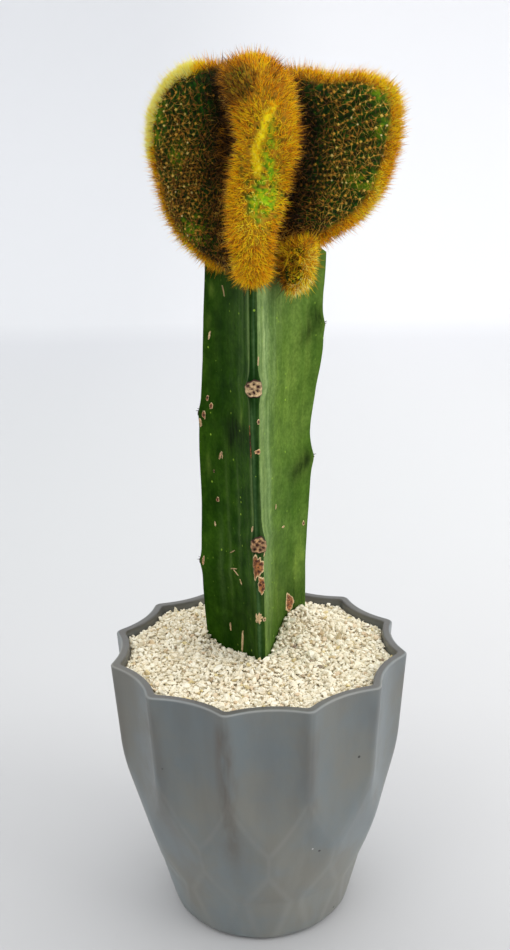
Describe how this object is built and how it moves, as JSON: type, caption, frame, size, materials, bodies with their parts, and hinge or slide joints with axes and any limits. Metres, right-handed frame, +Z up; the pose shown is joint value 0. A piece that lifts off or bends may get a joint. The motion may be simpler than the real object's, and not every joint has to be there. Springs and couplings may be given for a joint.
{
  "type": "potted moon cactus",
  "caption": "Grafted cactus: a crested, golden-bristled scion on an upright three-winged green stock, in a faceted grey planter topped with pale grit.",
  "frame": {"origin": "centre of the planter's flat base", "axes": "+Z up along the planter's axis and the stem; the front of the plant, with the stock's front wing, faces -Y; +X to the right seen from the front"},
  "size_m": [0.1486, 0.1486, 0.417],
  "materials": {
    "planter": "satin grey with faint brown mottling and paler worn edges",
    "potting_mix": "dark, crumbly and matt",
    "grit": "rough crushed stone, cream white with a few tan grains",
    "stock_skin": "waxy green skin with corky tan areoles and scars",
    "scion_skin": "green and olive skin under dense golden bristles, with a lemon-yellow growing line"
  },
  "bodies": {
    "root": {"pot": "planter", "potting_soil": "potting_mix", "grit_bed": "grit", "rootstock": "stock_skin", "scion": "scion_skin", "grit_stone_01": "grit", "grit_stone_02": "grit", "grit_stone_03": "grit", "grit_stone_04": "grit", "grit_stone_05": "grit", "grit_stone_06": "grit", "grit_stone_07": "grit", "grit_stone_08": "grit", "grit_stone_09": "grit", "grit_stone_10": "grit", "grit_stone_11": "grit", "grit_stone_12": "grit", "grit_stone_13": "grit", "grit_stone_14": "grit", "grit_stone_15": "grit", "grit_stone_16": "grit", "grit_stone_17": "grit", "grit_stone_18": "grit", "grit_stone_19": "grit", "grit_stone_20": "grit", "grit_stone_21": "grit", "grit_stone_22": "grit", "grit_stone_23": "grit", "grit_stone_24": "grit"}
  },
  "joints": []
}
